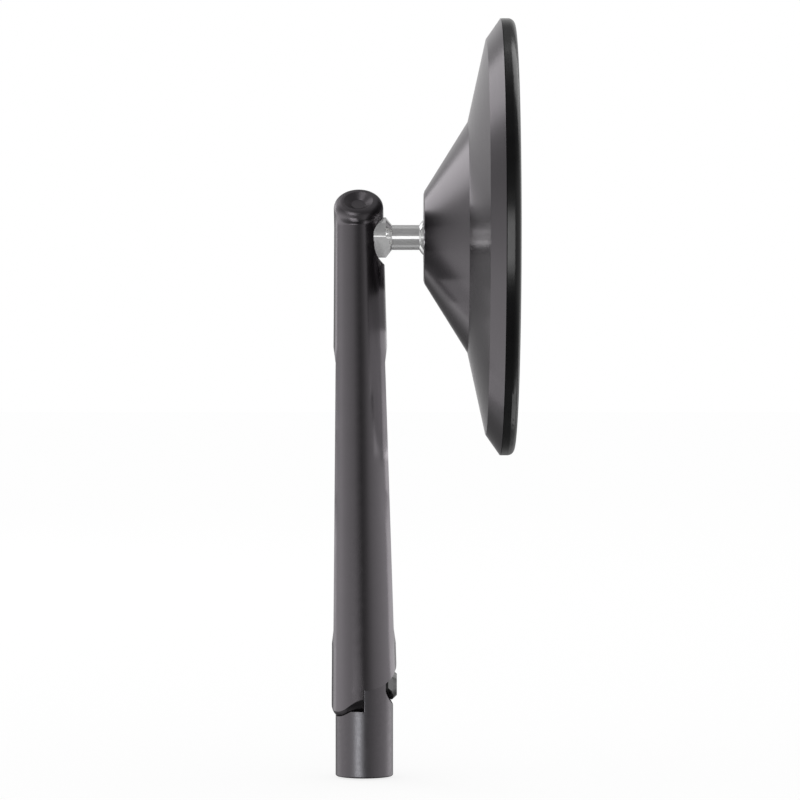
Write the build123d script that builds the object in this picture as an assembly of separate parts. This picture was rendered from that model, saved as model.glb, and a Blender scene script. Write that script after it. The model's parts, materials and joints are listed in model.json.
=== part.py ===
from build123d import *
import os
from math import cos, radians, sqrt, tan

# Bar end mirror. Millimetres. The origin is the mouth of the foot's thread,
# +Z runs up the stub, +X points to the side that the glass faces.

# Pivot stub, the foot that bolts to the handlebar end
stub_diameter = 11.5
pivot_height = 18.24
shoulder_drop = 5.04
stub_edge_break = 0.35
foot_thread_diameter = 6.0
foot_thread_depth = 8.0
drill_point_angle = 118.0

# Fold joint, a half lap that turns about a cross screw
lap_gap = 0.06
swing_clearance = 0.15
foot_rounding = 3.1
foot_drum_margin = 0.5
hood_rim_drop = 0.8
hood_rim_slope = 35.8
hood_bore_diameter = 6.9
tongue_edge_break = 0.15
fold_limit = 50.0
fold_spare = 4.0

# Cross screw and the washers of the fold joint
screw_diameter = 3.0
screw_head_flats = 5.5
screw_head_height = 1.7
screw_head_cone = 43.0
screw_head_tip_radius = 2.15
screw_head_under_radius = 2.85
screw_head_under_cone = 15.0
screw_head_turn = 55.0
screw_thread_length = 4.6
counterbore_diameter = 8.0
counterbore_depth = 1.45
running_clearance = 0.05
washer_diameter = 6.4
washer_thickness = 0.5
friction_washer_diameter = 8.0
friction_washer_thickness = 0.45

# Arm, a tapered round bar with a bent nose
arm_reach = 89.36
arm_foot_diameter = 13.06
arm_bend_diameter = 9.9
arm_lean = 0.69
bend_above_stud = 2.3
bend_inner_radius = 0.25
bend_angle = 40.8
nose_length = 2.05
nose_land = 0.05
nose_recess_diameter = 5.8
nose_recess_floor_diameter = 2.8
nose_recess_depth = 0.9

# Bare flats let into both sides of the arm, from above the pivot to below the stud
flat_foot = 10.96
flat_top_below_stud = 25.0
flat_foot_run_out = 2.7
flat_top_run_out = 3.2
flat_foot_depth = 0.33
flat_top_depth = 0.48

# Ball stud
stud_thread_diameter = 5.0
stud_thread_length = 5.4
stud_notch_radius = 5.3
stud_notch_floor = 2.0
stud_notch_drop = 1.3
stud_seat = 1.9
stud_bore_diameter = 8.2
stud_collar_diameter = 8.1
stud_collar_length = 3.63
stud_collar_cone = 51.6
stud_flats = 5.8
stud_flats_turn = 45.0
stud_neck_diameter = 5.0
ball_diameter = 10.0
stud_reach = 13.4

# Head housing, turned about the ball's axis and measured forward from the ball
head_diameter = 87.14
boss_set_back = 3.47
boss_radius = 9.0
boss_edge_break = 0.3
cone_break_place = 5.3
cone_break_radius = 23.05
bevel_place = 8.92
bevel_width = 4.07
front_place = 11.76
housing_wall = 2.2
hub_wall = 2.4
hub_set_back = 0.4
ledge_margin = 1.1

# Ball socket inside the housing
ball_clearance = 0.08
liner_wall = 0.95
liner_back = 2.5
liner_front = 0.6
cup_back = 1.3
cup_wall = 1.32
cup_chamfer = 0.5
spring_hole_radius = 3.1
spring_thickness = 0.6
spring_dish = 0.25
spring_play = 0.03
gland_step = 0.89
gland_hole_radius = 3.5
gland_thickness = 3.0
gland_slot_width = 2.0
gland_slot_depth = 1.2
thread_clearance = 0.03
thread_run_out = 0.3

# Glass and rim
tape_thickness = 0.5
tape_width = 4.0
glass_thickness = 1.6
glass_curvature = 1000.0
rim_width = 1.82
rim_gap = 0.15
rim_depth = 2.85
rim_outer_rounding = 1.35
rim_inner_rounding = 0.3
rim_parting_break = 0.15

# Sizes that follow from those above
stub_radius = stub_diameter / 2
dome_radius = stub_radius
foot_radius = arm_foot_diameter / 2
bend_bar_radius = arm_bend_diameter / 2
bend_radius = bend_bar_radius + bend_inner_radius
bend_foot = arm_reach + bend_above_stud
arm_taper = (foot_radius - bend_bar_radius) / bend_foot
shoulder_height = pivot_height - shoulder_drop
screw_seat = stub_radius - counterbore_depth
stud_height = pivot_height + arm_reach
flat_top = arm_reach - flat_top_below_stud
stud_collar_end = stud_seat + stud_collar_length
ball_place = stud_seat + stud_reach
ball_radius = ball_diameter / 2
liner_inner = ball_radius + ball_clearance
liner_outer = liner_inner + liner_wall
seat_radius = liner_outer + ball_clearance
cup_front = liner_inner + cup_wall
gland_thread_radius = seat_radius + gland_step
hub_radius = gland_thread_radius + hub_wall
head_radius = head_diameter / 2
bevel_radius = head_radius - bevel_width
boss_face = ball_place - boss_set_back
cone_break = ball_place + cone_break_place
bevel_start = ball_place + bevel_place
front_face = ball_place + front_place
glass_radius = head_radius - rim_width - rim_gap
tape_inner_radius = glass_radius - tape_width
ledge_inner_radius = tape_inner_radius - ledge_margin

# Reach of cutters past what they cut
beyond = 4 * head_diameter
cut_margin = 1.0

from_below = (Align.CENTER, Align.CENTER, Align.MIN)
at_pivot = Pos(0, 0, pivot_height)
at_stud = Pos(0, 0, stud_height)
at_ball = Pos(ball_place, 0, stud_height)
towards_glass = Rot(0, 90, 0)
arm_frame = at_pivot * Rot(0, -arm_lean, 0)


def rod_along_x(radius, start, end):
    return Pos(start, 0, 0) * towards_glass * Cylinder(radius, end - start, align=from_below)


def hexagon_along_x(flats, start, end, turn):
    corner = flats / 2 / cos(radians(30))
    sketch = RegularPolygon(corner, 6, rotation=turn)
    return Pos(start, 0, 0) * towards_glass * extrude(sketch, end - start)


def turned_about_x(*outline):
    return revolve(make_face(Polyline(*outline, close=True)), Axis.X)


def ball_along_x(radius):
    return towards_glass * Sphere(radius)


def foot_drum(growth):
    # Rounded drum about the cross screw, the shape of the arm's cheek end
    radius = foot_radius + foot_drum_margin + growth
    drum = rod_along_x(radius, -(foot_radius + growth), 0)
    outer_edge = drum.edges().filter_by(GeomType.CIRCLE).sort_by(Axis.X)[0]
    return at_pivot * fillet(outer_edge, foot_rounding + growth)


def pivot_stub():
    column = Cylinder(stub_radius, pivot_height, align=from_below)
    foot_edge = column.edges().filter_by(GeomType.CIRCLE).sort_by(Axis.Z)[0]
    column = fillet(foot_edge, stub_edge_break)
    stub = column + at_pivot * Sphere(dome_radius)
    corner = (Align.MAX, Align.CENTER, Align.MIN)
    stub -= Pos(0, 0, shoulder_height) * Box(beyond, beyond, beyond, align=corner)
    upright_edges = stub.edges().filter_by(Axis.Z)
    tongue_edges = upright_edges.filter_by_position(Axis.X, -running_clearance, running_clearance)
    stub = fillet(tongue_edges, tongue_edge_break)
    stub -= foot_drum(swing_clearance)

    # Tongue: bore for the screw, its counterbore and the friction washer's recess
    stub -= at_pivot * rod_along_x(screw_diameter / 2 + running_clearance, -cut_margin, stub_radius)
    stub -= at_pivot * rod_along_x(counterbore_diameter / 2, screw_seat, stub_radius)
    recess_radius = friction_washer_diameter / 2 + running_clearance
    recess_depth = friction_washer_thickness - lap_gap
    stub -= at_pivot * rod_along_x(recess_radius, -cut_margin, recess_depth)

    # Thread for the handlebar end's bolt
    radius = foot_thread_diameter / 2
    point = radius / tan(radians(drill_point_angle / 2))
    stub -= Cylinder(radius, foot_thread_depth, align=from_below)
    stub -= Pos(0, 0, foot_thread_depth) * Cone(radius, 0, point, align=from_below)
    return stub


def friction_washer():
    start = -lap_gap
    washer = rod_along_x(friction_washer_diameter / 2, start, start + friction_washer_thickness)
    hole = rod_along_x(screw_diameter / 2 + running_clearance, start, start + friction_washer_thickness)
    return at_pivot * (washer - hole)


def pivot_washer():
    end = screw_seat + washer_thickness
    washer = rod_along_x(washer_diameter / 2, screw_seat, end)
    return at_pivot * (washer - rod_along_x(screw_diameter / 2 + running_clearance, screw_seat, end))


def pivot_screw():
    head_start = screw_seat + washer_thickness
    head_end = head_start + screw_head_height
    head = hexagon_along_x(screw_head_flats, head_start, head_end, screw_head_turn)
    outer_end = screw_head_under_radius + screw_head_height * tan(radians(screw_head_under_cone))
    head &= turned_about_x(
        (head_start, 0),
        (head_start, screw_head_under_radius),
        (head_end, outer_end),
        (head_end, 0),
    )
    inner_end = screw_head_tip_radius + screw_head_height * tan(radians(screw_head_cone))
    head &= turned_about_x(
        (head_start, 0),
        (head_start, inner_end),
        (head_end, screw_head_tip_radius),
        (head_end, 0),
    )
    shank = rod_along_x(screw_diameter / 2, -lap_gap - screw_thread_length, head_start)
    return at_pivot * (head + shank)


def bare_bar():
    # Tapered bar, its bend and its nose, standing on the pivot
    below = foot_radius + cut_margin
    bar = Pos(0, 0, -below) * Cone(
        foot_radius + arm_taper * below, bend_bar_radius, bend_foot + below, align=from_below
    )
    bend_axis = Axis((0, -bend_radius, bend_foot), (1, 0, 0))
    bend = revolve(Pos(0, 0, bend_foot) * Circle(bend_bar_radius), bend_axis, bend_angle)
    turn = Pos(0, -bend_radius, bend_foot) * Rot(bend_angle, 0, 0) * Pos(0, bend_radius, 0)
    nose = Cylinder(bend_bar_radius, nose_length, align=from_below)
    nose_edge = nose.edges().filter_by(GeomType.CIRCLE).sort_by(Axis.Z)[-1]
    nose = fillet(nose_edge, nose_length - nose_land)
    nose -= nose_recess()
    return bar + bend + turn * nose


def nose_recess():
    recess = Cone(
        nose_recess_floor_diameter / 2, nose_recess_diameter / 2, nose_recess_depth, align=from_below
    )
    return Pos(0, 0, nose_length - nose_recess_depth) * recess


def side_flats():
    # One cutter for each side: a straight flat that runs out at both ends
    def surface(height):
        return foot_radius - arm_taper * height

    foot_end = flat_foot - flat_foot_run_out
    top_end = flat_top + flat_top_run_out
    far_out = 2 * foot_radius
    outline = Polyline(
        (far_out, foot_end),
        (surface(foot_end), foot_end),
        (surface(flat_foot) - flat_foot_depth, flat_foot),
        (surface(flat_top) - flat_top_depth, flat_top),
        (surface(top_end), top_end),
        (far_out, top_end),
        close=True,
    )
    cutter = extrude(Plane.XZ * make_face(outline), far_out, both=True)
    return cutter + mirror(cutter, Plane.YZ)


def lap_space():
    # Room for the stub's tongue: the hood's rim climbs from the front and is open behind
    def rim(place):
        return (place + foot_radius) * tan(radians(hood_rim_slope)) - hood_rim_drop

    reach = 2 * foot_radius
    open_angle = radians(fold_limit + fold_spare)
    outline = Polyline(
        (-reach, -reach),
        (reach, -reach),
        (reach, reach * tan(open_angle)),
        (foot_radius, max(rim(foot_radius), foot_radius * tan(open_angle))),
        (-reach, rim(-reach)),
        close=True,
    )
    below_rim = extrude(Plane.YZ.offset(-lap_gap) * make_face(outline), reach)
    pocket_radius = dome_radius + swing_clearance
    pocket = ball_along_x(pocket_radius) & rod_along_x(reach, -lap_gap, reach)
    return [at_pivot * cutter for cutter in (below_rim, pocket)]


def arm():
    bar = arm_frame * (bare_bar() - side_flats())

    # Cheek beside the tongue, rounded about the screw
    corner = (Align.MAX, Align.CENTER, Align.MAX)
    below_pivot = at_pivot * Pos(-lap_gap, 0, 0) * Box(beyond, beyond, beyond, align=corner)
    bar -= below_pivot - foot_drum(0)
    for cutter in lap_space():
        bar -= cutter
    bar -= at_pivot * rod_along_x(hood_bore_diameter / 2, screw_seat, foot_radius + cut_margin)
    thread_end = -lap_gap - screw_thread_length - thread_run_out
    bar -= at_pivot * rod_along_x(screw_diameter / 2 + thread_clearance, thread_end, 0)

    # Notch across the arm, bore for the ball stud's collar and the stud's thread
    notch = Rot(90, 0, 0) * Cylinder(stud_notch_radius, 4 * foot_radius)
    bar -= at_stud * Pos(stud_notch_floor + stud_notch_radius, 0, -stud_notch_drop) * notch
    bar -= at_stud * rod_along_x(stud_bore_diameter / 2, stud_seat, stud_seat + foot_radius)
    stud_end = stud_seat - stud_thread_length - thread_run_out
    bar -= at_stud * rod_along_x(stud_thread_diameter / 2 + thread_clearance, stud_end, stud_seat)
    return bar


def ball_stud():
    # Coned collar with two spanner flats
    rim = stud_collar_diameter / 2
    neck = stud_neck_diameter / 2
    cone_length = (rim - neck) / tan(radians(stud_collar_cone))
    collar = turned_about_x(
        (stud_seat, 0),
        (stud_seat, rim),
        (stud_collar_end - cone_length, rim),
        (stud_collar_end, neck),
        (stud_collar_end, 0),
    )
    collar &= Rot(stud_flats_turn, 0, 0) * Box(beyond, stud_flats, beyond)
    thread = rod_along_x(stud_thread_diameter / 2, stud_seat - stud_thread_length, stud_seat)
    shaft = rod_along_x(neck, stud_collar_end, ball_place)
    return at_stud * (thread + collar + shaft + Pos(ball_place, 0, 0) * ball_along_x(ball_radius))


def cup_end():
    return ball_place + cup_front


def gland_back():
    return cup_end() + 2 * (spring_thickness + spring_dish) + 3 * spring_play


def housing_slopes():
    # Run along the axis for each millimetre of radius, on the two cones of the back
    steep = (cone_break - boss_face) / (cone_break_radius - boss_radius)
    shallow = (bevel_start - cone_break) / (bevel_radius - cone_break_radius)
    return steep, shallow


def head_housing():
    steep, shallow = housing_slopes()
    shell = turned_about_x(
        (boss_face, 0),
        (boss_face, boss_radius - boss_edge_break),
        (boss_face + steep * boss_edge_break, boss_radius + boss_edge_break),
        (cone_break, cone_break_radius),
        (bevel_start, bevel_radius),
        (front_face, head_radius),
        (front_face, 0),
    )

    # Hollow between the outer cones and the hub, one wall thickness inside
    steep_start = cone_break - steep * cone_break_radius + housing_wall * sqrt(1 + steep**2)
    shallow_start = cone_break - shallow * cone_break_radius + housing_wall * sqrt(1 + shallow**2)
    inner_break = (shallow_start - steep_start) / (steep - shallow)
    shell -= turned_about_x(
        (steep_start + steep * hub_radius, hub_radius),
        (steep_start + steep * inner_break, inner_break),
        (shallow_start + shallow * ledge_inner_radius, ledge_inner_radius),
        (front_face + cut_margin, ledge_inner_radius),
        (front_face + cut_margin, hub_radius),
    )

    # Ball socket: mouth, seat, bore for the cup and thread for the gland ring
    shell -= rod_along_x(seat_radius, ball_place, front_face)
    shell -= Pos(ball_place, 0, 0) * ball_along_x(seat_radius)
    shell -= rod_along_x(gland_thread_radius, gland_back(), front_face)
    shell -= rod_along_x(hub_radius, front_face - hub_set_back, front_face + cut_margin)
    return at_stud * shell


def ball_liner():
    ring = rod_along_x(liner_outer, -liner_back, -liner_front) & ball_along_x(liner_outer)
    return at_ball * (ring - ball_along_x(liner_inner))


def pressure_cup():
    cup = rod_along_x(seat_radius - ball_clearance, cup_back, cup_front)
    front_edge = cup.edges().filter_by(GeomType.CIRCLE).sort_by(Axis.X)[-1]
    cup = chamfer(front_edge, cup_chamfer)
    return at_ball * (cup - ball_along_x(liner_inner))


def disc_spring(back, rim_offset, hole_offset):
    # Dished ring: its rim and its hole stand at different places along the axis
    rim_radius = seat_radius - ball_clearance
    return at_stud * turned_about_x(
        (back + rim_offset, rim_radius),
        (back + hole_offset, spring_hole_radius),
        (back + hole_offset + spring_thickness, spring_hole_radius),
        (back + rim_offset + spring_thickness, rim_radius),
    )


def gland_ring():
    back = gland_back()
    front = back + gland_thickness
    radius = gland_thread_radius - thread_clearance
    ring = rod_along_x(radius, back, front) - rod_along_x(gland_hole_radius, back, front)
    slot = Pos(front, 0, 0) * Box(2 * gland_slot_depth, beyond, gland_slot_width)
    return at_stud * (ring - slot)


def glass_bulge(radius):
    return glass_curvature - sqrt(glass_curvature**2 - radius**2)


def glass_rim_back():
    return front_face + tape_thickness


def glass_tape():
    rise = glass_bulge(glass_radius) - glass_bulge(tape_inner_radius)
    return at_stud * turned_about_x(
        (front_face, tape_inner_radius),
        (front_face, glass_radius),
        (glass_rim_back(), glass_radius),
        (glass_rim_back() + rise, tape_inner_radius),
    )


def mirror_glass():
    edge = glass_radius
    back = glass_rim_back() + glass_bulge(edge)
    front = back + glass_thickness

    def dome(place):
        middle = (place - glass_bulge(edge / 2), edge / 2)
        return ThreePointArc((place, 0), middle, (place - glass_bulge(edge), edge))

    outline = [
        dome(back),
        Line((back - glass_bulge(edge), edge), (front - glass_bulge(edge), edge)),
        dome(front),
        Line((front, 0), (back, 0)),
    ]
    return at_stud * revolve(make_face(outline), Axis.X)


def rim_ring():
    front = front_face + rim_depth
    inner = head_radius - rim_width
    ring = rod_along_x(head_radius, front_face, front) - rod_along_x(inner, front_face, front)
    rings = ring.edges().filter_by(GeomType.CIRCLE).group_by(Axis.X)[-1].sort_by(SortBy.RADIUS)
    ring = fillet(rings[-1], rim_outer_rounding)
    rings = ring.edges().filter_by(GeomType.CIRCLE).group_by(Axis.X)[-1].sort_by(SortBy.RADIUS)
    ring = fillet(rings[0], rim_inner_rounding)
    rings = ring.edges().filter_by(GeomType.CIRCLE).group_by(Axis.X)[0].sort_by(SortBy.RADIUS)
    return at_stud * chamfer(rings[-1], rim_parting_break)


first_spring = cup_end() + spring_play
second_spring = first_spring + spring_dish + spring_thickness + spring_play

nodes = {
    "pivot_stub": pivot_stub(),
    "friction_washer": friction_washer(),
    "pivot_washer": pivot_washer(),
    "pivot_screw": pivot_screw(),
    "arm": arm(),
    "ball_stud": ball_stud(),
    "head_housing": head_housing(),
    "ball_liner": ball_liner(),
    "pressure_cup": pressure_cup(),
    "rear_disc_spring": disc_spring(first_spring, 0, spring_dish),
    "front_disc_spring": disc_spring(second_spring, spring_dish, 0),
    "gland_ring": gland_ring(),
    "glass_tape": glass_tape(),
    "mirror_glass": mirror_glass(),
    "rim_ring": rim_ring(),
}

os.makedirs("parts", exist_ok=True)
for name, solid in nodes.items():
    export_step(solid, f"parts/{name}.step")
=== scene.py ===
import json
import math

import bpy
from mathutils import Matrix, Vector


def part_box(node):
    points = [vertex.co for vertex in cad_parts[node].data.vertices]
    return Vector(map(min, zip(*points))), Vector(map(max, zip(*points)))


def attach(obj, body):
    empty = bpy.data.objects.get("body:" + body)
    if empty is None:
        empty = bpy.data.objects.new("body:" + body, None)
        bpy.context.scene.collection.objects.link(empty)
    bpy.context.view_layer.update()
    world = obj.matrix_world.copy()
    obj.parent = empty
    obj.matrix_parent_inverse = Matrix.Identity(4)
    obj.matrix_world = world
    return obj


# Bar end mirror: finishes, the foot's thread, the studio and the camera. Metres.

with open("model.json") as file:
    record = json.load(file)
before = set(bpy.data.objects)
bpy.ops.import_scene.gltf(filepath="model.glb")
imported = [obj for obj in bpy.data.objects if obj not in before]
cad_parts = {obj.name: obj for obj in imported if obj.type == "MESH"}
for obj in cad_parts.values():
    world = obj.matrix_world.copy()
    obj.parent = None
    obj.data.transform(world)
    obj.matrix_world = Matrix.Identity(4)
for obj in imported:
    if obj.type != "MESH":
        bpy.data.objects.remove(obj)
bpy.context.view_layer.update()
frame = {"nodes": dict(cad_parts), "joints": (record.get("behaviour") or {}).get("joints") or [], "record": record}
solids = frame["nodes"]
joints = {joint["name"]: joint for joint in frame["joints"]}
mounts = {mount["name"]: mount for mount in frame["record"]["mounts"]}

# Places and sizes that the finishes follow
stud_height = joints["head_spin"]["pos_m"][2]
nose_start = stud_height + 0.0029
nose_full = stud_height + 0.0059
glass_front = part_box("mirror_glass")[1].x
glass_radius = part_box("mirror_glass")[1].y
glass_edge_start = glass_radius - 0.0004
glass_edge_full = glass_radius - 0.0001
glass_middle = 0.010
glass_curvature = 1.0

# The foot's thread, by the names of its tree's inputs
thread_hole = mounts["stub_thread"]["dims"]
thread_pitch = 0.0010
foot_thread = {
    "Radius": thread_hole["r_mm"] / 1000,
    "Pitch": thread_pitch,
    "Turns": thread_hole["length_mm"] / 1000 / thread_pitch - 1,
    "Depth": 0.00054,
    "Root Width": 0.00088,
    "Start": thread_pitch / 2,
}


def add_node(tree, kind, **settings):
    made = tree.nodes.new(kind)
    for name, value in settings.items():
        setattr(made, name, value)
    return made


def add_maths(tree, operation, *terms):
    """Maths node whose terms are numbers or other nodes' outputs."""
    made = add_node(tree, "ShaderNodeMath", operation=operation)
    for socket, term in zip(made.inputs, terms):
        if isinstance(term, (int, float)):
            socket.default_value = term
        else:
            tree.links.new(term, socket)
    return made.outputs["Value"]


class Finish:
    """One material: its node tree, its shader and the piece's own coordinates."""

    def __init__(self, name):
        self.material = bpy.data.materials.new(name)
        self.material.use_nodes = True
        self.tree = self.material.node_tree
        self.shader = self.tree.nodes["Principled BSDF"]
        self.place = self.node("ShaderNodeTexCoord").outputs["Object"]

    def node(self, kind, **settings):
        return add_node(self.tree, kind, **settings)

    def join(self, source, target):
        self.tree.links.new(source, target)

    def set(self, **values):
        for name, value in values.items():
            self.shader.inputs[name.replace("_", " ")].default_value = value

    def grain(self, size, detail=2.0, place=None):
        """Noise whose spots are about as large as size."""
        noise = self.node("ShaderNodeTexNoise")
        noise.inputs["Scale"].default_value = 1 / size
        noise.inputs["Detail"].default_value = detail
        self.join(place or self.place, noise.inputs["Vector"])
        return noise.outputs["Fac"]

    def lines_along(self, axis):
        """Coordinates that change along one axis only, so that noise on them turns into lines across it."""
        keep = self.node("ShaderNodeVectorMath", operation="MULTIPLY")
        keep.inputs[1].default_value = axis
        self.join(self.place, keep.inputs[0])
        return keep.outputs["Vector"]

    def height(self):
        """Height above the foot."""
        split = self.node("ShaderNodeSeparateXYZ")
        self.join(self.place, split.inputs["Vector"])
        return split.outputs["Z"]

    def rings_about_stud(self):
        """Distance from the ball stud's axis, so that noise on it turns into rings."""
        shift = self.node("ShaderNodeVectorMath", operation="SUBTRACT")
        shift.inputs[1].default_value = (0, 0, stud_height)
        self.join(self.place, shift.inputs[0])
        flat = self.node("ShaderNodeVectorMath", operation="MULTIPLY")
        flat.inputs[1].default_value = (0, 1, 1)
        self.join(shift.outputs["Vector"], flat.inputs[0])
        reach = self.node("ShaderNodeVectorMath", operation="LENGTH")
        self.join(flat.outputs["Vector"], reach.inputs[0])
        return reach.outputs["Value"]

    def between(self, factor, low, high, start=0.3, end=0.7):
        """Low to high as factor goes from start to end."""
        spread = self.node("ShaderNodeMapRange")
        spread.inputs["From Min"].default_value = start
        spread.inputs["From Max"].default_value = end
        spread.inputs["To Min"].default_value = low
        spread.inputs["To Max"].default_value = high
        self.join(factor, spread.inputs["Value"])
        return spread.outputs["Result"]

    def blend(self, factor, one, other):
        """One colour to another as factor goes from 0 to 1."""
        mix = self.node("ShaderNodeMix", data_type="RGBA")
        mix.inputs["A"].default_value = (*one, 1)
        mix.inputs["B"].default_value = (*other, 1)
        self.join(factor, mix.inputs["Factor"])
        return mix.outputs["Result"]

    def colour(self, factor, one, other):
        self.join(self.blend(factor, one, other), self.shader.inputs["Base Color"])

    def roughness(self, factor, low, high):
        self.join(self.between(factor, low, high), self.shader.inputs["Roughness"])

    def relief(self, height, depth, strength):
        bump = self.node("ShaderNodeBump")
        bump.inputs["Strength"].default_value = strength
        bump.inputs["Distance"].default_value = depth
        self.join(height, bump.inputs["Height"])
        self.join(bump.outputs["Normal"], self.shader.inputs["Normal"])

    def true_sphere(self, centre, reach):
        """Shades the middle of a face as the sphere about centre, as far as reach from the stud's axis."""
        ray = self.node("ShaderNodeVectorMath", operation="SUBTRACT")
        ray.inputs[1].default_value = centre
        self.join(self.place, ray.inputs[0])
        outwards = self.node("ShaderNodeVectorTransform", vector_type="NORMAL")
        outwards.convert_from = "OBJECT"
        outwards.convert_to = "WORLD"
        self.join(ray.outputs["Vector"], outwards.inputs["Vector"])
        mix = self.node("ShaderNodeMix", data_type="VECTOR")
        self.join(self.between(self.rings_about_stud(), 0, 1, 0.9 * reach, reach), mix.inputs["Factor"])
        self.join(outwards.outputs["Vector"], mix.inputs["A"])
        self.join(self.node("ShaderNodeNewGeometry").outputs["Normal"], mix.inputs["B"])
        unit = self.node("ShaderNodeVectorMath", operation="NORMALIZE")
        self.join(mix.outputs["Result"], unit.inputs[0])
        self.join(unit.outputs["Vector"], self.shader.inputs["Normal"])


def black_anodised_bar():
    finish = Finish("black_anodised_bar")
    finish.set(Metallic=1.0)
    finish.colour(finish.grain(0.004), (0.174, 0.162, 0.174), (0.184, 0.171, 0.184))
    drawn = finish.between(finish.grain(0.0012), 0.20, 0.24)
    blasted_nose = finish.between(finish.height(), 0, 0.18, nose_start, nose_full)
    finish.join(add_maths(finish.tree, "ADD", drawn, blasted_nose), finish.shader.inputs["Roughness"])
    finish.relief(finish.grain(0.00022, 1.0), 0.000004, 0.4)
    return finish.material


def black_anodised_blasted():
    finish = Finish("black_anodised_blasted")
    finish.set(Metallic=1.0)
    speckle = finish.grain(0.00028, 3.0)
    finish.colour(speckle, (0.142, 0.132, 0.142), (0.170, 0.158, 0.170))
    finish.roughness(finish.grain(0.0009), 0.34, 0.42)
    finish.relief(speckle, 0.000012, 0.5)
    return finish.material


def black_anodised_turned():
    finish = Finish("black_anodised_turned")
    finish.set(Metallic=1.0, Specular_Tint=(1.0, 0.985, 1.0, 1))
    finish.colour(finish.grain(0.006), (0.106, 0.099, 0.106), (0.113, 0.106, 0.113))
    rings = finish.grain(0.00018, 2.0, finish.rings_about_stud())
    finish.roughness(rings, 0.19, 0.24)
    finish.relief(rings, 0.000002, 0.3)
    return finish.material


def polished_steel():
    finish = Finish("polished_steel")
    finish.set(Metallic=0.75)
    turning = finish.grain(0.00015, 2.0, finish.lines_along((1, 0, 0)))
    finish.colour(finish.grain(0.002), (0.80, 0.80, 0.80), (0.85, 0.85, 0.85))
    finish.roughness(turning, 0.07, 0.13)
    finish.relief(turning, 0.000002, 0.2)
    return finish.material


def black_oxide_steel():
    finish = Finish("black_oxide_steel")
    finish.set(Metallic=1.0)
    finish.colour(finish.grain(0.0008), (0.17, 0.168, 0.17), (0.19, 0.188, 0.19))
    finish.roughness(finish.grain(0.0005), 0.10, 0.15)
    return finish.material


def gloss_black():
    finish = Finish("gloss_black")
    finish.set(IOR=1.48)
    finish.colour(finish.grain(0.003), (0.0030, 0.0030, 0.0032), (0.0042, 0.0042, 0.0044))
    finish.roughness(finish.grain(0.002), 0.20, 0.25)
    finish.relief(finish.grain(0.0011, 1.0), 0.000002, 0.3)
    return finish.material


def silvered_glass():
    finish = Finish("silvered_glass")
    finish.set(Metallic=1.0)
    edge = finish.between(finish.rings_about_stud(), 0, 1, glass_edge_start, glass_edge_full)
    finish.colour(edge, (0.87, 0.885, 0.88), (0.20, 0.27, 0.25))
    finish.roughness(edge, 0.015, 0.35)
    finish.true_sphere((glass_front - glass_curvature, 0, stud_height), glass_middle)
    return finish.material


def natural_polymer():
    finish = Finish("natural_polymer")
    finish.colour(finish.grain(0.002), (0.78, 0.77, 0.73), (0.84, 0.83, 0.79))
    finish.roughness(finish.grain(0.0006), 0.45, 0.55)
    finish.relief(finish.grain(0.0003), 0.000005, 0.4)
    return finish.material


def spring_steel():
    finish = Finish("spring_steel")
    finish.set(Metallic=1.0)
    rings = finish.grain(0.0002, 2.0, finish.rings_about_stud())
    finish.colour(finish.grain(0.001), (0.39, 0.38, 0.37), (0.45, 0.44, 0.43))
    finish.roughness(rings, 0.25, 0.38)
    return finish.material


def turned_aluminium():
    finish = Finish("turned_aluminium")
    finish.set(Metallic=1.0)
    rings = finish.grain(0.00015, 2.0, finish.rings_about_stud())
    finish.colour(finish.grain(0.002), (0.70, 0.70, 0.71), (0.75, 0.75, 0.76))
    finish.roughness(rings, 0.22, 0.34)
    finish.relief(rings, 0.000003, 0.4)
    return finish.material


def foam_tape():
    finish = Finish("foam_tape")
    cell_size = 0.0002
    cells = finish.node("ShaderNodeTexVoronoi")
    cells.inputs["Scale"].default_value = 1 / cell_size
    finish.join(finish.place, cells.inputs["Vector"])
    finish.colour(cells.outputs["Distance"], (0.022, 0.022, 0.022), (0.045, 0.045, 0.045))
    finish.roughness(cells.outputs["Distance"], 0.80, 0.95)
    finish.relief(cells.outputs["Distance"], 0.00005, 0.6)
    return finish.material


# Finishes of the solids
bar_finish = black_anodised_bar()
blasted_finish = black_anodised_blasted()
turned_finish = black_anodised_turned()
steel_finish = polished_steel()
screw_finish = black_oxide_steel()
polymer_finish = natural_polymer()
spring_finish = spring_steel()
finishes = {
    "arm": bar_finish,
    "pivot_stub": blasted_finish,
    "head_housing": turned_finish,
    "ball_stud": steel_finish,
    "pivot_screw": screw_finish,
    "pivot_washer": screw_finish,
    "rim_ring": gloss_black(),
    "mirror_glass": silvered_glass(),
    "friction_washer": polymer_finish,
    "ball_liner": polymer_finish,
    "pressure_cup": polymer_finish,
    "rear_disc_spring": spring_finish,
    "front_disc_spring": spring_finish,
    "gland_ring": turned_aluminium(),
    "glass_tape": foam_tape(),
}
for name, material in finishes.items():
    solids[name].data.materials.clear()
    solids[name].data.materials.append(material)


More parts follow.
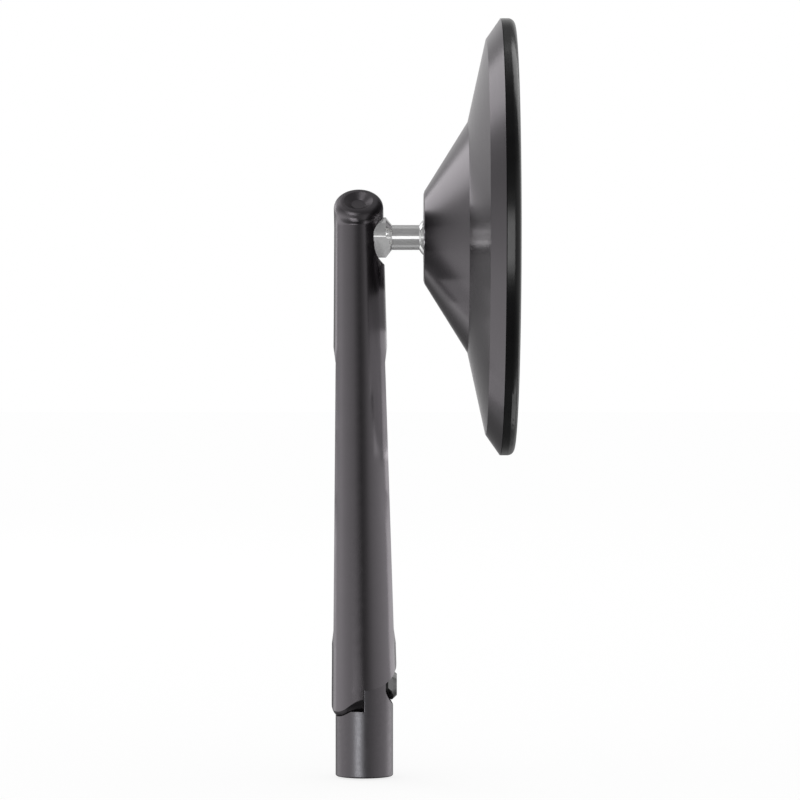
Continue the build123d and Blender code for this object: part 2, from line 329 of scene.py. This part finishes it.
def thread_ridge_tree():
    """Geometry Nodes: a sharp ridge that winds up the inside of a bore, half of it sunk in the wall."""
    points_per_turn = 48
    tree = bpy.data.node_groups.new("thread_ridge", "GeometryNodeTree")
    tree.interface.new_socket("Geometry", in_out="INPUT", socket_type="NodeSocketGeometry")
    for size in foot_thread:
        tree.interface.new_socket(size, in_out="INPUT", socket_type="NodeSocketFloat")
    tree.interface.new_socket("Finish", in_out="INPUT", socket_type="NodeSocketMaterial")
    tree.interface.new_socket("Geometry", in_out="OUTPUT", socket_type="NodeSocketGeometry")

    def node(kind, **settings):
        return add_node(tree, kind, **settings)

    def join(source, target):
        tree.links.new(source, target)

    def product(one, other):
        return add_maths(tree, "MULTIPLY", one, other)

    sizes = node("NodeGroupInput").outputs
    winding = node("GeometryNodeCurveSpiral")
    winding.inputs["Resolution"].default_value = points_per_turn
    join(sizes["Turns"], winding.inputs["Rotations"])
    join(sizes["Radius"], winding.inputs["Start Radius"])
    join(sizes["Radius"], winding.inputs["End Radius"])
    join(product(sizes["Turns"], sizes["Pitch"]), winding.inputs["Height"])
    upright = node("GeometryNodeSetCurveNormal", mode="Z_UP")
    join(winding.outputs["Curve"], upright.inputs["Curve"])
    section = node("GeometryNodeCurvePrimitiveQuadrilateral", mode="KITE")
    join(product(sizes["Depth"], 2.0), section.inputs["Width"])
    join(product(sizes["Root Width"], 0.5), section.inputs["Bottom Height"])
    join(product(sizes["Root Width"], 0.5), section.inputs["Top Height"])
    ridge = node("GeometryNodeCurveToMesh")
    ridge.inputs["Fill Caps"].default_value = True
    join(upright.outputs["Curve"], ridge.inputs["Curve"])
    join(section.outputs["Curve"], ridge.inputs["Profile Curve"])
    lift = node("ShaderNodeCombineXYZ")
    join(sizes["Start"], lift.inputs["Z"])
    place = node("GeometryNodeTransform")
    join(ridge.outputs["Mesh"], place.inputs["Geometry"])
    join(lift.outputs["Vector"], place.inputs["Translation"])
    real = node("GeometryNodeRealizeInstances")
    join(place.outputs["Geometry"], real.inputs["Geometry"])
    finish = node("GeometryNodeSetMaterial")
    join(real.outputs["Geometry"], finish.inputs["Geometry"])
    join(sizes["Finish"], finish.inputs["Material"])
    join(finish.outputs["Geometry"], node("NodeGroupOutput").inputs["Geometry"])
    return tree


def foot_thread_piece():
    """The thread in the foot as a plain mesh that moves with the stub."""
    tree = thread_ridge_tree()
    piece = bpy.data.objects.new("foot_thread", bpy.data.meshes.new("foot_thread_start"))
    bpy.context.scene.collection.objects.link(piece)
    winding = piece.modifiers.new("thread_ridge", "NODES")
    winding.node_group = tree
    for socket in tree.interface.items_tree:
        if socket.name in foot_thread:
            winding[socket.identifier] = foot_thread[socket.name]
        if socket.name == "Finish":
            winding[socket.identifier] = blasted_finish
    ready = piece.evaluated_get(bpy.context.evaluated_depsgraph_get())
    mesh = bpy.data.meshes.new_from_object(ready)
    mesh.name = "foot_thread"
    piece.modifiers.remove(winding)
    piece.data = mesh
    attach(piece, "stub")


foot_thread_piece()

# Studio: the photo's camera, soft lamps, a pale floor and a white background
camera_place = (0.00713, -0.654, 0.0751)
photo_width_px = 800
focal_length_px = 3270
sensor_width_mm = 36.0
object_middle = (0.010, 0, 0.090)
screw_head = (0.005, 0, 0.018)
stub_middle = (0, 0, 0.006)
white = (1, 1, 1)
cool_white = (0.93, 1.0, 0.99)


def photo_camera():
    """Camera that looks level along +Y, as in the photo."""
    lens = bpy.data.cameras.new("camera")
    lens.sensor_width = sensor_width_mm
    lens.lens = focal_length_px / photo_width_px * sensor_width_mm
    lens.clip_end = 50
    camera = bpy.data.objects.new("camera", lens)
    camera.location = camera_place
    camera.rotation_euler = (math.radians(90), 0, 0)
    bpy.context.scene.collection.objects.link(camera)
    bpy.context.scene.camera = camera


def softbox(name, direction, distance, size, radiance, *pieces, lit=object_middle, tint=white):
    """Lamp of that width and height, in one direction from the point it faces, for all pieces or some."""
    width, height = size
    lamp = bpy.data.lights.new(name, "AREA")
    lamp.shape = "RECTANGLE"
    lamp.size = width
    lamp.size_y = height
    lamp.energy = radiance * math.pi * width * height
    lamp.color = tint
    towards = Vector(direction).normalized()
    placed = bpy.data.objects.new(name, lamp)
    placed.location = Vector(lit) + towards * distance
    placed.rotation_euler = towards.to_track_quat("Z", "Y").to_euler()
    placed.visible_camera = False
    bpy.context.scene.collection.objects.link(placed)
    if pieces:
        group = bpy.data.collections.new(name + "_pieces")
        for piece in pieces:
            group.objects.link(solids[piece])
        placed.light_linking.receiver_collection = group
        placed.light_linking.blocker_collection = group


def gap_lamp(name, piece, x, y_range, z_range, radiance):
    """Small lamp in the gap between the arm and the head, which lights the one or the other."""
    facing = (1, 0, 0) if piece == "arm" else (-1, 0, 0)
    size = (y_range[1] - y_range[0], z_range[1] - z_range[0])
    middle = (x, sum(y_range) / 2, sum(z_range) / 2)
    softbox(name, facing, 0, size, radiance, piece, lit=middle)


def main_lamps():
    """Two large softboxes. The glass doesn't mirror the right one, which would fill it with white."""
    all_but_glass = [name for name in solids if name != "mirror_glass"]
    softbox("left_softbox", (-0.685, 0.66, 0.31), 1.2, (0.50, 0.46), 1.80)
    softbox("right_softbox", (0.82, 0.57, 0.03), 1.2, (0.80, 1.20), 0.85, *all_but_glass)


def arm_lamps():
    """Highlights under and over the arm's nose, and light on the side that the head hides from the room."""
    softbox("low_front_light", (-0.43, -0.835, -0.34), 0.62, (0.34, 0.10), 1.6, "arm")
    softbox("under_nose_light", (-0.36, -0.72, -0.60), 0.60, (0.34, 0.26), 0.8, "arm")
    softbox("high_front_light", (-0.38, -0.72, 0.58), 0.60, (0.26, 0.26), 1.4, "arm")
    softbox("high_left_light", (-0.58, 0.37, 0.73), 1.0, (0.60, 0.60), 0.8, "arm")
    x = 0.014
    side_back = -0.0020
    back = (side_back, 0.0300)
    gap_lamp("arm_side_top_light", "arm", x, (-0.0210, side_back), (0.0895, 0.0970), 0.24)
    gap_lamp("arm_back_top_light", "arm", x, back, (0.0895, 0.0980), 0.35)
    gap_lamp("arm_side_light", "arm", x, (-0.0205, side_back), (0.0770, 0.0895), 0.45)
    gap_lamp("arm_back_light", "arm", x, back, (0.0770, 0.0895), 1.00)
    gap_lamp("arm_side_low_light", "arm", x, (-0.0145, side_back), (0.0645, 0.0770), 0.42)
    gap_lamp("arm_back_low_light", "arm", x, back, (0.0635, 0.0770), 1.10)


def head_lamps():
    """Light on the part of the housing that the arm hides from the room."""
    x = 0.006
    low_x = 0.008
    gap_lamp("head_nose_light", "head_housing", x, (-0.0110, 0.0010), (0.0955, 0.1035), 0.13)
    gap_lamp("head_side_light", "head_housing", x, (-0.0110, -0.0025), (0.0800, 0.0955), 0.62)
    gap_lamp("head_back_light", "head_housing", x, (-0.0025, 0.0030), (0.0800, 0.0895), 0.42)
    gap_lamp("head_low_light", "head_housing", low_x, (-0.0150, -0.0030), (0.0620, 0.0740), 0.75)


def ring_lamps():
    """Highlights on the gloss ring."""
    softbox("rim_light", (0.02, -1.0, -0.06), 0.5, (0.20, 0.26), 3.0, "rim_ring")
    softbox("rim_ceiling_light", (0.52, 0.2, 0.76), 0.5, (0.34, 0.46), 2.3, "rim_ring")
    softbox("rim_floor_light", (0.5, 0.3, -0.85), 0.5, (0.30, 0.30), 1.0, "rim_ring")


def stud_lamps():
    """Bright line along the ball stud, and light on its flats, which the housing mirrors."""
    softbox("stud_light", (0.0, -1.0, -0.02), 0.5, (1.00, 0.22), 1.25, "ball_stud")
    softbox("stud_low_left_light", (-0.55, -0.42, -0.73), 0.5, (0.24, 0.24), 4.0, "ball_stud")
    softbox("stud_high_left_light", (-0.55, -0.42, 0.73), 0.5, (0.24, 0.24), 2.4, "ball_stud")
    softbox("stud_floor_light", (0, 0, -1), 0.3, (0.16, 0.16), 0.18, "ball_stud")


def foot_lamps():
    """Pale band on the stub, and light on the screw's facets."""
    softbox("stub_light", (-0.395, -0.918, -0.105), 0.5, (0.18, 0.40), 3.3, "pivot_stub",
            lit=stub_middle, tint=cool_white)
    softbox("screw_light", (0.35, -0.85, -0.35), 0.3, (0.35, 0.45), 0.75, "pivot_screw", lit=screw_head)


def pale_floor():
    """Wide pale floor that stays white to the camera and keeps a soft shadow."""
    half = 20.0
    below_foot = -0.0003
    paleness = 0.95
    glow_to_camera = 0.8
    mesh = bpy.data.meshes.new("floor")
    corners = [(-half, -half), (half, -half), (half, half), (-half, half)]
    mesh.from_pydata([(x, y, below_foot) for x, y in corners], [], [(0, 1, 2, 3)])
    floor = bpy.data.objects.new("floor", mesh)
    floor.visible_glossy = False
    floor.visible_shadow = False
    bpy.context.scene.collection.objects.link(floor)
    material = bpy.data.materials.new("pale_floor")
    material.use_nodes = True
    tree = material.node_tree
    tree.nodes.clear()
    diffuse = add_node(tree, "ShaderNodeBsdfDiffuse")
    diffuse.inputs["Color"].default_value = (paleness, paleness, paleness, 1)
    glow = add_node(tree, "ShaderNodeEmission")
    path = add_node(tree, "ShaderNodeLightPath")
    mix = add_node(tree, "ShaderNodeMixShader")
    glow_share = add_maths(tree, "MULTIPLY", path.outputs["Is Camera Ray"], glow_to_camera)
    tree.links.new(glow_share, mix.inputs["Fac"])
    tree.links.new(diffuse.outputs["BSDF"], mix.inputs[1])
    tree.links.new(glow.outputs["Emission"], mix.inputs[2])
    tree.links.new(mix.outputs["Shader"], add_node(tree, "ShaderNodeOutputMaterial").inputs["Surface"])
    mesh.materials.append(material)


def studio_room():
    """White background. Metal sees a room with pale walls, a darker camera side and a dim ceiling."""
    world = bpy.data.worlds.new("studio_room")
    bpy.context.scene.world = world
    world.use_nodes = True
    world.cycles.sampling_method = "NONE"
    tree = world.node_tree
    tree.nodes.clear()

    def node(kind):
        return add_node(tree, kind)

    def maths(operation, *terms):
        return add_maths(tree, operation, *terms)

    def ramp(factor, stops):
        """Brightness along factor. Each stop is a place from 0 to 1 and the brightness there."""
        made = node("ShaderNodeValToRGB")
        elements = made.color_ramp.elements
        elements[0].position = stops[0][0]
        elements[1].position = stops[-1][0]
        for place, _ in stops[1:-1]:
            elements.new(place)
        for element, (place, brightness) in zip(elements, stops):
            element.position = place
            element.color = (brightness, brightness, brightness, 1)
        tree.links.new(factor, made.inputs["Fac"])
        return made.outputs["Color"]

    axes = node("ShaderNodeSeparateXYZ")
    tree.links.new(node("ShaderNodeTexCoord").outputs["Generated"], axes.inputs["Vector"])
    right = axes.outputs["X"]
    back = axes.outputs["Y"]
    up = axes.outputs["Z"]

    # Brightness by bearing: 0 is straight behind the object, 0.25 left, 0.5 the camera's side, 0.75 right
    angle = maths("ARCTAN2", right, maths("MULTIPLY", back, -1))
    bearing = maths("ADD", maths("DIVIDE", angle, 2 * math.pi), 0.5)
    level = ramp(bearing, [
        (0.00, 1.50), (0.02, 0.60), (0.055, 0.20), (0.085, 0.17), (0.12, 1.00), (0.155, 1.90), (0.175, 0.60),
        (0.20, 0.82), (0.25, 0.95), (0.30, 0.70), (0.42, 0.40), (0.46, 0.19), (0.50, 0.09), (0.54, 0.16),
        (0.60, 0.47), (0.75, 0.86), (0.82, 0.84), (0.93, 0.64), (0.98, 0.60), (1.00, 1.50),
    ])
    above = ramp(bearing, [
        (0.00, 0.70), (0.05, 0.66), (0.09, 0.62), (0.12, 0.50), (0.17, 0.42), (0.23, 0.55), (0.40, 0.40),
        (0.50, 0.12), (0.60, 0.40), (0.75, 0.68), (1.00, 0.65),
    ])
    below = ramp(bearing, [
        (0.00, 0.25), (0.05, 0.12), (0.085, 0.18), (0.10, 0.60), (0.13, 1.10), (0.22, 1.00), (0.34, 0.70),
        (0.42, 0.45), (0.50, 0.10), (0.60, 0.40), (0.75, 0.75), (0.82, 0.72), (1.00, 0.25),
    ])

    # Shares of the three by height, and the dim ceiling and floor
    over = ramp(maths("ADD", up, 0.5), [(0.50, 0.0), (0.71, 1.0)])
    under = ramp(maths("SUBTRACT", 0.5, up), [(0.50, 0.0), (0.62, 1.0)])
    between = maths("SUBTRACT", maths("SUBTRACT", 1, over), under)
    high_and_low = maths("ADD", maths("MULTIPLY", above, over), maths("MULTIPLY", below, under))
    walls = maths("ADD", maths("MULTIPLY", level, between), high_and_low)
    rise = maths("ADD", maths("MULTIPLY", up, 0.5), 0.5)
    dimming = ramp(rise, [(0.10, 0.25), (0.22, 0.40), (0.33, 1.0), (0.65, 1.0), (0.80, 0.25), (0.95, 0.50)])
    room = maths("MULTIPLY", walls, dimming)

    path = node("ShaderNodeLightPath")
    reflected = maths("MAXIMUM", path.outputs["Is Glossy Ray"], path.outputs["Is Transmission Ray"])
    brightness = maths("ADD", maths("MULTIPLY", reflected, maths("SUBTRACT", room, 1)), 1)
    background = node("ShaderNodeBackground")
    background.inputs["Color"].default_value = (*white, 1)
    tree.links.new(brightness, background.inputs["Strength"])
    tree.links.new(background.outputs["Background"], node("ShaderNodeOutputWorld").inputs["Surface"])


photo_camera()
main_lamps()
arm_lamps()
head_lamps()
ring_lamps()
stud_lamps()
foot_lamps()
pale_floor()
studio_room()
bpy.context.scene.view_settings.view_transform = "Standard"
